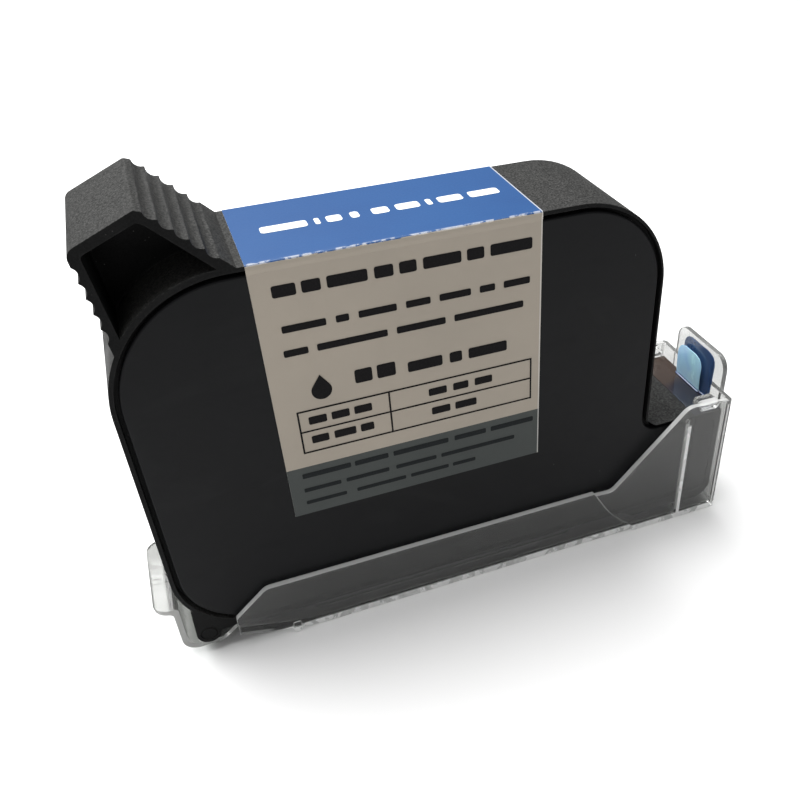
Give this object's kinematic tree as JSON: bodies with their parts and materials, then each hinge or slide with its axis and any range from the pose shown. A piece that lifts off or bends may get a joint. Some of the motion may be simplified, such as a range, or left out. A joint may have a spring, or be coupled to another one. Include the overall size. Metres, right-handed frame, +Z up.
{
  "type": "thermal inkjet cartridge with protective clip",
  "caption": "Slim black inkjet cartridge for date coding: ribbed finger grip, wrap label, snout with printhead and contacts, taped, in a clear hinged protective clip.",
  "frame": {"origin": "under the middle of the whole object, on the plane that it stands on", "axes": "+X from the latch towards the contact end, +Y through the cartridge's thickness, away from the side with the long part of the label, +Z up"},
  "size_m": [0.101, 0.0222, 0.0731],
  "materials": {
    "case_black": "fine spark-eroded grain, worn slightly grey on top",
    "cover_black": "smooth satin",
    "natural_plastic": "natural, slightly milky",
    "bag_film": "thin laminated film",
    "spring_steel": "rolled",
    "steel_mesh": "fine woven mesh",
    "ball_steel": "polished ball",
    "silicon": "polished silicon",
    "nozzle_film": "thin amber film with fine holes",
    "flex_film": "amber circuit film",
    "contact_gold": "gold plated",
    "sealant": "cured bead",
    "amber_tape": "thin brown film",
    "tab_blue": "glossy blue film, folded",
    "label_paper": "printed paper: blue strip, beige field, grey band",
    "clear_plastic": "clear, polished",
    "seal_rubber": "soft pad"
  },
  "bodies": {
    "cartridge": {"pen_frame": "case_black", "near_side_cover": "cover_black", "far_side_cover": "cover_black", "inner_frame": "natural_plastic", "near_bag_film": "bag_film", "far_bag_film": "bag_film", "bow_spring": "spring_steel", "filter_carrier": "natural_plastic", "filter_mesh": "steel_mesh", "fill_plug": "ball_steel", "printhead_die": "silicon", "nozzle_plate": "nozzle_film", "flex_circuit": "flex_film", "contact_pads": "contact_gold", "bond_sealant": "sealant", "nozzle_tape": "amber_tape", "tape_pull_tab": "tab_blue", "wrap_label": "label_paper"},
    "near_plate": {"near_pressure_plate": "spring_steel"},
    "far_plate": {"far_pressure_plate": "spring_steel"},
    "clip": {"clip_shell": "clear_plastic", "clip_seal_pad": "seal_rubber"},
    "latch": {"clip_latch": "clear_plastic"}
  },
  "joints": [
    {"name": "clip_swing", "type": "hinge", "parent": "cartridge", "child": "clip", "pos_m": [0.0453, 0, 0.02399], "axis": [0, -1, 0], "range_deg": [0, 10]},
    {"name": "latch_flex", "type": "hinge", "parent": "clip", "child": "latch", "pos_m": [-0.03905, 0, 0.0033], "axis": [0, -1, 0], "range_deg": [0, 9], "stiffness_Nm_per_rad": 0.004},
    {"name": "near_plate_slide", "type": "slide", "parent": "cartridge", "child": "near_plate", "axis": [0, 1, 0], "range_m": [0, 0.0045], "stiffness_N_per_m": 60, "deforming": ["bow_spring", "near_bag_film"]},
    {"name": "far_plate_slide", "type": "slide", "parent": "cartridge", "child": "far_plate", "axis": [0, -1, 0], "range_m": [0, 0.0045], "stiffness_N_per_m": 60, "deforming": ["far_bag_film"]}
  ],
  "couplings": [
    {"joint": "far_plate_slide", "follows": "near_plate_slide", "ratio": 1}
  ]
}
